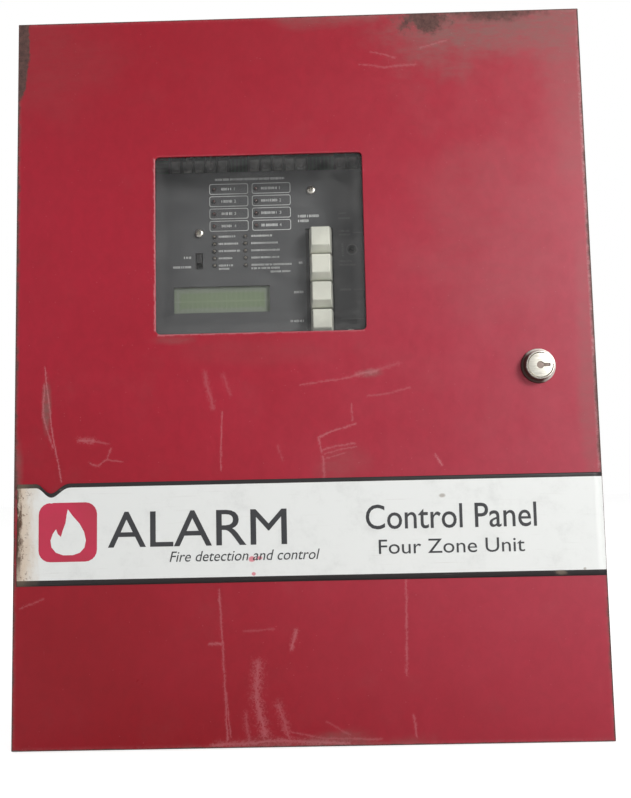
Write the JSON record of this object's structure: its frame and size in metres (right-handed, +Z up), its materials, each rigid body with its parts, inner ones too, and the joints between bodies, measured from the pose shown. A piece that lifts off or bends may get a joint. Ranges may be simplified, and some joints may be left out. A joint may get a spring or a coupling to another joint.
{
  "type": "fire alarm control panel",
  "caption": "Wall-hung steel alarm control cabinet with a keyed hinged door, door window, display faceplate, electronics and standby batteries.",
  "frame": {"origin": "centre of the cabinet's back face, on the wall", "axes": "+Z up, +X to the right seen from the front, +Y into the wall; the front looks along -Y"},
  "size_m": [0.4035, 0.111, 0.508],
  "materials": {
    "red_paint": "semi-gloss enamel with scratches, rubbed edges and dull haze",
    "hinge_steel": "zinc plated",
    "white_label": "printed film, slightly soiled",
    "clear_window": "clear sheet, polished",
    "plated_steel": "zinc plated",
    "nickel": "bright nickel",
    "faceplate_paint": "fine textured dark grey",
    "circuit_board": "green solder mask",
    "black_plastic": "moulded",
    "display_glass": "grey-green liquid crystal",
    "white_key": "moulded off-white",
    "lamp": "diffused lens",
    "terminal_plastic": "moulded",
    "laminations": "varnished steel sheets",
    "coil_tape": "yellow tape",
    "battery_case": "moulded",
    "heat_sink_aluminium": "extruded",
    "capacitor_sleeve": "shrink sleeve",
    "fuse_glass_and_clips": "moulded base with tinned clips",
    "red_insulation": "smooth insulation",
    "black_insulation": "smooth insulation",
    "blue_insulation": "smooth insulation",
    "ribbon": "ribbed flat cable"
  },
  "bodies": {
    "cabinet": {"battery_lead_black": "black_insulation", "battery_lead_red": "red_insulation", "battery_left": "battery_case", "battery_link": "blue_insulation", "battery_right": "battery_case", "board_standoff_1": "nickel", "board_standoff_2": "nickel", "board_standoff_3": "nickel", "board_standoff_4": "nickel", "cabinet_body": "red_paint", "display_board": "circuit_board", "faceplate": "faceplate_paint", "faceplate_post_1": "nickel", "faceplate_post_2": "nickel", "faceplate_post_3": "nickel", "faceplate_post_4": "nickel", "faceplate_screw_1": "nickel", "faceplate_screw_2": "nickel", "faceplate_screw_3": "nickel", "faceplate_screw_4": "nickel", "filter_capacitor": "capacitor_sleeve", "fuse_block": "fuse_glass_and_clips", "heat_sink": "heat_sink_aluminium", "hinge_leaf_cabinet": "hinge_steel", "hinge_pin": "hinge_steel", "key_switch_block": "black_plastic", "lcd_bezel": "black_plastic", "lcd_board": "circuit_board", "lcd_glass": "display_glass", "led_block_left": "lamp", "led_block_outputs": "lamp", "led_block_status": "lamp", "main_board": "circuit_board", "piezo_sounder": "black_plastic", "program_switch_body": "black_plastic", "relay": "black_plastic", "ribbon_cable": "ribbon", "terminal_strip_lower": "terminal_plastic", "terminal_strip_upper_left": "terminal_plastic", "terminal_strip_upper_middle": "terminal_plastic", "terminal_strip_upper_right": "terminal_plastic", "transformer_coil": "coil_tape", "transformer_core": "laminations", "transformer_lead_1": "red_insulation", "transformer_lead_2": "blue_insulation"},
    "door": {"door_panel": "red_paint", "hinge_leaf_door": "hinge_steel", "label_band": "white_label", "window_lens": "clear_window", "window_retainer": "plated_steel", "lock_barrel": "nickel", "lock_nut": "plated_steel"},
    "lock": {"lock_plug": "nickel", "lock_cam": "plated_steel", "lock_cam_screw": "plated_steel"},
    "key_1": {"key_1": "white_key"},
    "key_2": {"key_2": "white_key"},
    "key_3": {"key_3": "white_key"},
    "key_4": {"key_4": "white_key"},
    "program_switch": {"program_switch_lever": "black_plastic"}
  },
  "joints": [
    {"name": "door_hinge", "type": "hinge", "parent": "cabinet", "child": "door", "pos_m": [-0.2, -0.08525, 0], "axis": [0, 0, -1], "range_deg": [0, 165]},
    {"name": "lock_turn", "type": "hinge", "parent": "door", "child": "lock", "pos_m": [0.161, -0.1, -0.003], "axis": [0, -1, 0], "range_deg": [0, 90]},
    {"name": "key_1_press", "type": "slide", "parent": "cabinet", "child": "key_1", "axis": [0, 1, 0], "range_m": [0, 0.002], "stiffness_N_per_m": 300, "springref_m": -0.001},
    {"name": "key_2_press", "type": "slide", "parent": "cabinet", "child": "key_2", "axis": [0, 1, 0], "range_m": [0, 0.002], "stiffness_N_per_m": 300, "springref_m": -0.001},
    {"name": "key_3_press", "type": "slide", "parent": "cabinet", "child": "key_3", "axis": [0, 1, 0], "range_m": [0, 0.002], "stiffness_N_per_m": 300, "springref_m": -0.001},
    {"name": "key_4_press", "type": "slide", "parent": "cabinet", "child": "key_4", "axis": [0, 1, 0], "range_m": [0, 0.002], "stiffness_N_per_m": 300, "springref_m": -0.001},
    {"name": "program_switch_slide", "type": "slide", "parent": "cabinet", "child": "program_switch", "axis": [0, 0, -1], "range_m": [0, 0.0042]}
  ]
}
